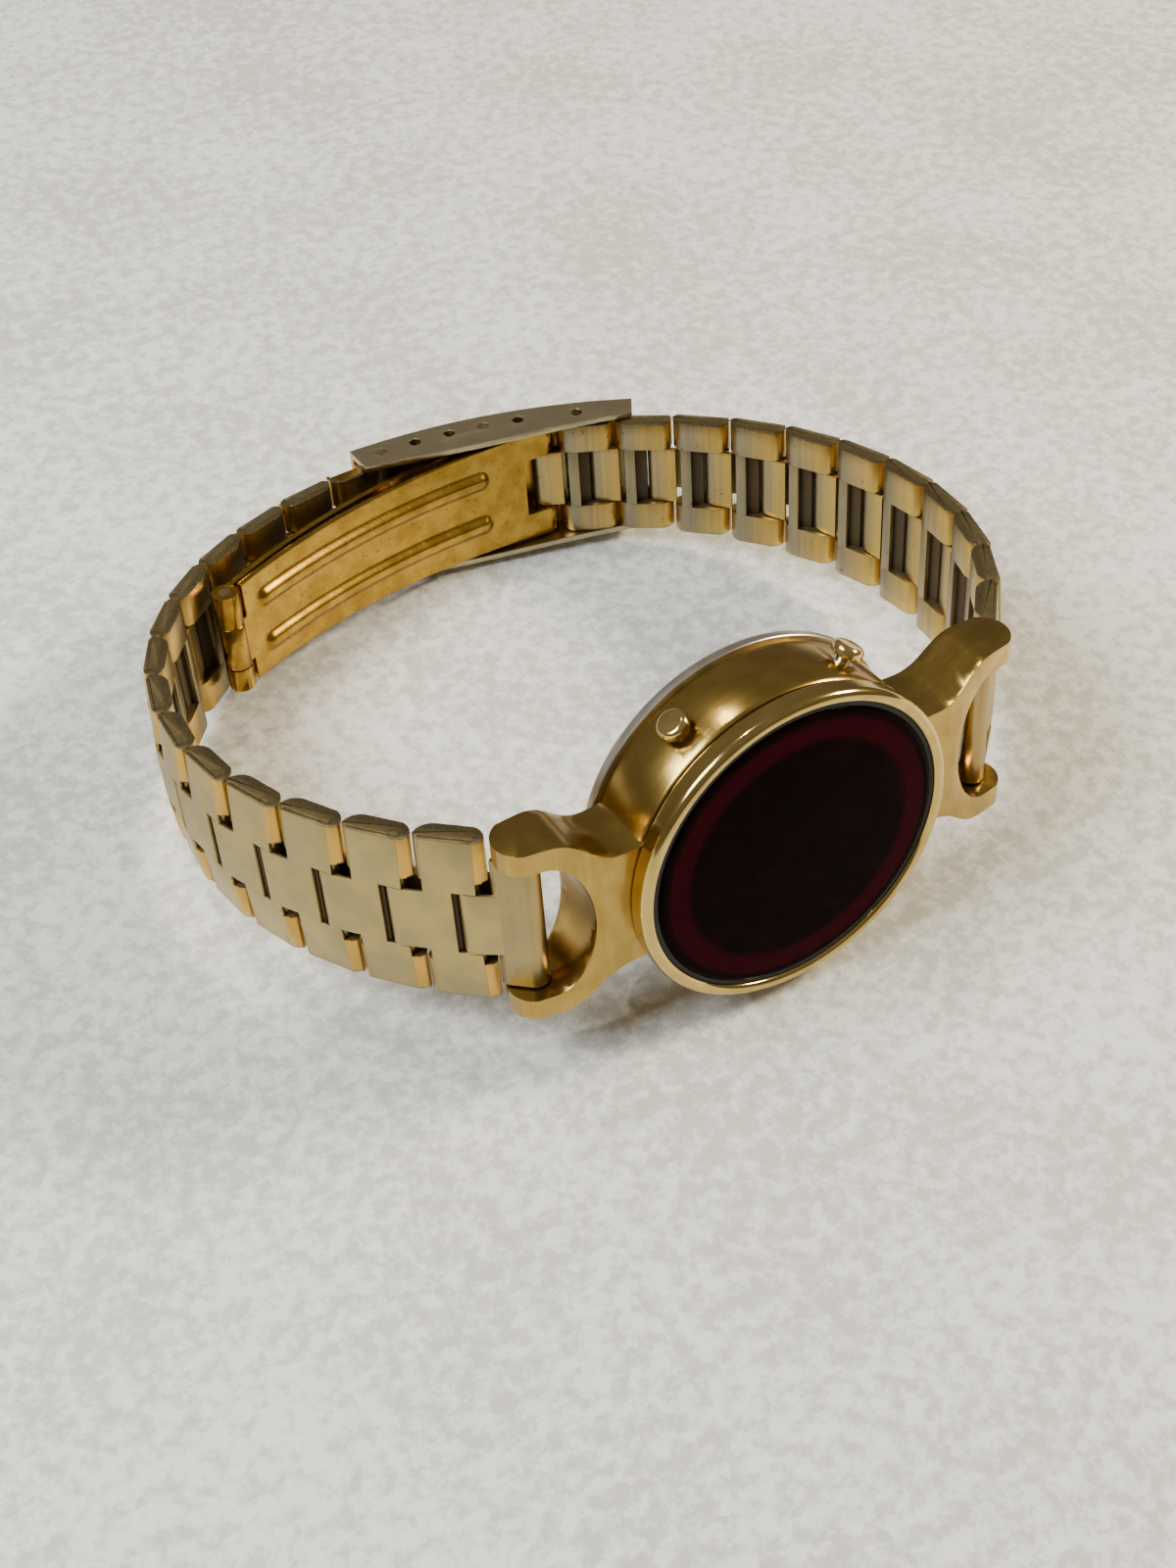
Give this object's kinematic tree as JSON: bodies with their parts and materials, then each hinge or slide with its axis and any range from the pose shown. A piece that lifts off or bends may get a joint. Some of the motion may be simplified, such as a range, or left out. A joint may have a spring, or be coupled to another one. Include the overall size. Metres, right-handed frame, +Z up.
{
  "type": "bracelet wrist watch",
  "caption": "Round dark-display wrist watch with stirrup lugs, side pushers and a tapering folded-link bracelet on a fold-over clasp.",
  "frame": {"origin": "centre of the bounding box at table height, the watch lying on its side", "axes": "+X towards the right lug as the wearer reads the display; +Z up, along the wrist's axis but for the resting tilt; the display faces -Y"},
  "size_m": [0.0638, 0.0582, 0.0261],
  "materials": {
    "case_plate": "satin gold plating",
    "bezel_plate": "polished gold plating",
    "dark_lens": "dark red, glossy",
    "gasket_rubber": "black",
    "back_steel": "plain steel, satin",
    "module_resin": "moulded, black",
    "board_resin": "laminate, green",
    "display_glass": "red filter over light-emitting bars",
    "chip_resin": "moulded, black",
    "bright_steel": "bright steel",
    "contact_brass": "sprung brass",
    "pusher_plate": "polished gold plating",
    "pin_steel": "drawn steel",
    "link_steel": "brushed, worn gold plating",
    "blade_plate": "bright gold plating, rubbed",
    "cover_plate": "brushed, worn gold plating"
  },
  "bodies": {
    "head": {"case_body": "case_plate", "bezel": "bezel_plate", "lens": "dark_lens", "lens_gasket": "gasket_rubber", "case_back": "back_steel", "back_gasket": "gasket_rubber", "module_frame": "module_resin", "circuit_board": "board_resin", "display": "display_glass", "driver_chip": "chip_resin", "quartz_crystal": "bright_steel", "cell_right": "bright_steel", "cell_left": "bright_steel", "cell_contact": "contact_brass", "pusher_tube_right": "contact_brass", "pusher_tube_left": "contact_brass", "pusher_seal_right": "gasket_rubber", "pusher_seal_left": "gasket_rubber", "switch_leaf_right": "contact_brass", "switch_leaf_left": "contact_brass", "lug_bar_right": "pin_steel", "lug_bar_tips_left": "pin_steel"},
    "pusher_right": {"pusher_right": "pusher_plate"},
    "pusher_left": {"pusher_left": "pusher_plate"},
    "end_link_right": {"end_link_right": "link_steel"},
    "link_right_01": {"link_right_01": "link_steel"},
    "link_right_02": {"link_right_02": "link_steel"},
    "link_right_03": {"link_right_03": "link_steel"},
    "link_right_04": {"link_right_04": "link_steel"},
    "link_right_05": {"link_right_05": "link_steel"},
    "link_right_06": {"link_right_06": "link_steel"},
    "link_right_07": {"link_right_07": "link_steel"},
    "link_right_08": {"link_right_08": "link_steel"},
    "link_right_09": {"link_right_09": "link_steel"},
    "link_right_10": {"link_right_10": "link_steel"},
    "link_right_11": {"link_right_11": "link_steel"},
    "inner_blade": {"inner_blade": "blade_plate", "inner_blade_end_pin": "pin_steel", "fold_pin": "pin_steel"},
    "middle_blade": {"middle_blade": "blade_plate"},
    "cover": {"clasp_cover": "cover_plate", "cover_pin": "pin_steel", "sizing_bar": "pin_steel"},
    "spring_link": {"spring_link": "link_steel", "spring_link_pin": "pin_steel"},
    "link_left_13": {"link_left_13": "link_steel"},
    "link_left_12": {"link_left_12": "link_steel"},
    "link_left_11": {"link_left_11": "link_steel"},
    "link_left_10": {"link_left_10": "link_steel"},
    "link_left_09": {"link_left_09": "link_steel"},
    "link_left_08": {"link_left_08": "link_steel"},
    "link_left_07": {"link_left_07": "link_steel"},
    "link_left_06": {"link_left_06": "link_steel"},
    "link_left_05": {"link_left_05": "link_steel"},
    "link_left_04": {"link_left_04": "link_steel"},
    "link_left_03": {"link_left_03": "link_steel"},
    "link_left_02": {"link_left_02": "link_steel"},
    "link_left_01": {"link_left_01": "link_steel"},
    "end_link_left": {"end_link_left": "link_steel", "lug_bar_left": "pin_steel"}
  },
  "joints": [
    {"name": "press_right", "type": "slide", "parent": "head", "child": "pusher_right", "axis": [-0.5299, -0.1192, -0.8396], "range_m": [0, 0.00045], "stiffness_N_per_m": 400, "springref_m": -0.0005},
    {"name": "press_left", "type": "slide", "parent": "head", "child": "pusher_left", "axis": [0.5299, -0.1192, -0.8396], "range_m": [0, 0.00045], "stiffness_N_per_m": 400, "springref_m": -0.0005},
    {"name": "hinge_right_00", "type": "hinge", "parent": "head", "child": "end_link_right", "pos_m": [0.0207, -0.02282, 0.01305], "axis": [0, -0.1406, -0.9901], "range_deg": [0, 39.78]},
    {"name": "hinge_right_01", "type": "hinge", "parent": "end_link_right", "child": "link_right_01", "pos_m": [0.02346, -0.02054, 0.01273], "axis": [0, -0.1406, -0.9901], "range_deg": [0, 9.56]},
    {"name": "hinge_right_02", "type": "hinge", "parent": "link_right_01", "child": "link_right_02", "pos_m": [0.02672, -0.01678, 0.01219], "axis": [0, -0.1406, -0.9901], "range_deg": [0, 11.65]},
    {"name": "hinge_right_03", "type": "hinge", "parent": "link_right_02", "child": "link_right_03", "pos_m": [0.02914, -0.01245, 0.01158], "axis": [0, -0.1406, -0.9901], "range_deg": [0, 11.97]},
    {"name": "hinge_right_04", "type": "hinge", "parent": "link_right_03", "child": "link_right_04", "pos_m": [0.0306, -0.00771, 0.01091], "axis": [0, -0.1406, -0.9901], "range_deg": [0, 11.94]},
    {"name": "hinge_right_05", "type": "hinge", "parent": "link_right_04", "child": "link_right_05", "pos_m": [0.03104, -0.00278, 0.01021], "axis": [0, -0.1406, -0.9901], "range_deg": [0, 11.56]},
    {"name": "hinge_right_06", "type": "hinge", "parent": "link_right_05", "child": "link_right_06", "pos_m": [0.03047, 0.00213, 0.00951], "axis": [0, -0.1406, -0.9901], "range_deg": [0, 10.94]},
    {"name": "hinge_right_07", "type": "hinge", "parent": "link_right_06", "child": "link_right_07", "pos_m": [0.02896, 0.00686, 0.00884], "axis": [0, -0.1406, -0.9901], "range_deg": [0, 10.21]},
    {"name": "hinge_right_08", "type": "hinge", "parent": "link_right_07", "child": "link_right_08", "pos_m": [0.02664, 0.01124, 0.00822], "axis": [0, -0.1406, -0.9901], "range_deg": [0, 9.51]},
    {"name": "hinge_right_09", "type": "hinge", "parent": "link_right_08", "child": "link_right_09", "pos_m": [0.02361, 0.01517, 0.00766], "axis": [0, -0.1406, -0.9901], "range_deg": [0, 8.91]},
    {"name": "hinge_right_10", "type": "hinge", "parent": "link_right_09", "child": "link_right_10", "pos_m": [0.02, 0.0186, 0.00717], "axis": [0, -0.1406, -0.9901], "range_deg": [0, 8.45]},
    {"name": "hinge_right_11", "type": "hinge", "parent": "link_right_10", "child": "link_right_11", "pos_m": [0.01592, 0.02146, 0.00676], "axis": [0, -0.1406, -0.9901], "range_deg": [0, 8.13]},
    {"name": "hinge_blade", "type": "hinge", "parent": "link_right_11", "child": "inner_blade", "pos_m": [0.01147, 0.02372, 0.00644], "axis": [0, -0.1406, -0.9901], "range_deg": [0, 20.26]},
    {"name": "clasp_fold", "type": "hinge", "parent": "inner_blade", "child": "middle_blade", "pos_m": [-0.02047, 0.01753, 0.00732], "axis": [0, 0.1406, 0.9901], "range_deg": [0, 135]},
    {"name": "hinge_cover", "type": "hinge", "parent": "middle_blade", "child": "cover", "pos_m": [0.00682, 0.0252, 0.00623], "axis": [0, -0.1406, -0.9901], "range_deg": [0, 135.01]},
    {"name": "hinge_sizing_bar", "type": "hinge", "parent": "cover", "child": "spring_link", "pos_m": [-0.00205, 0.02659, 0.00604], "axis": [0, -0.1406, -0.9901], "range_deg": [0, 4]},
    {"name": "hinge_left_14", "type": "hinge", "parent": "spring_link", "child": "link_left_13", "pos_m": [-0.00605, 0.02642, 0.00606], "axis": [0, -0.1406, -0.9901], "range_deg": [0, 7.73]},
    {"name": "hinge_left_13", "type": "hinge", "parent": "link_left_13", "child": "link_left_12", "pos_m": [-0.01097, 0.02554, 0.00619], "axis": [0, -0.1406, -0.9901], "range_deg": [0, 9.07]},
    {"name": "hinge_left_12", "type": "hinge", "parent": "link_left_12", "child": "link_left_11", "pos_m": [-0.01569, 0.0239, 0.00642], "axis": [0, -0.1406, -0.9901], "range_deg": [0, 9.7]},
    {"name": "hinge_left_11", "type": "hinge", "parent": "link_left_11", "child": "link_left_10", "pos_m": [-0.02006, 0.0215, 0.00676], "axis": [0, -0.1406, -0.9901], "range_deg": [0, 10.42]},
    {"name": "hinge_left_10", "type": "hinge", "parent": "link_left_10", "child": "link_left_09", "pos_m": [-0.02392, 0.01836, 0.00721], "axis": [0, -0.1406, -0.9901], "range_deg": [0, 11.13]},
    {"name": "hinge_left_09", "type": "hinge", "parent": "link_left_09", "child": "link_left_08", "pos_m": [-0.02709, 0.01453, 0.00775], "axis": [0, -0.1406, -0.9901], "range_deg": [0, 11.7]},
    {"name": "hinge_left_08", "type": "hinge", "parent": "link_left_08", "child": "link_left_07", "pos_m": [-0.02941, 0.01015, 0.00837], "axis": [0, -0.1406, -0.9901], "range_deg": [0, 11.99]},
    {"name": "hinge_left_07", "type": "hinge", "parent": "link_left_07", "child": "link_left_06", "pos_m": [-0.03076, 0.00538, 0.00905], "axis": [0, -0.1406, -0.9901], "range_deg": [0, 11.92]},
    {"name": "hinge_left_06", "type": "hinge", "parent": "link_left_06", "child": "link_left_05", "pos_m": [-0.03109, 0.00044, 0.00975], "axis": [0, -0.1406, -0.9901], "range_deg": [0, 11.5]},
    {"name": "hinge_left_05", "type": "hinge", "parent": "link_left_05", "child": "link_left_04", "pos_m": [-0.03041, -0.00447, 0.01045], "axis": [0, -0.1406, -0.9901], "range_deg": [0, 10.86]},
    {"name": "hinge_left_04", "type": "hinge", "parent": "link_left_04", "child": "link_left_03", "pos_m": [-0.02881, -0.00916, 0.01111], "axis": [0, -0.1406, -0.9901], "range_deg": [0, 10.13]},
    {"name": "hinge_left_03", "type": "hinge", "parent": "link_left_03", "child": "link_left_02", "pos_m": [-0.0264, -0.01349, 0.01173], "axis": [0, -0.1406, -0.9901], "range_deg": [0, 9.44]},
    {"name": "hinge_left_02", "type": "hinge", "parent": "link_left_02", "child": "link_left_01", "pos_m": [-0.0233, -0.01738, 0.01228], "axis": [0, -0.1406, -0.9901], "range_deg": [0, 8.85]},
    {"name": "hinge_left_01", "type": "hinge", "parent": "link_left_01", "child": "end_link_left", "pos_m": [-0.01963, -0.02074, 0.01276], "axis": [0, -0.1406, -0.9901], "range_deg": [0, 7.25]}
  ],
  "couplings": [
    {"joint": "hinge_blade", "follows": "clasp_fold", "ratio": 0.15},
    {"joint": "hinge_cover", "follows": "clasp_fold", "ratio": 1}
  ]
}
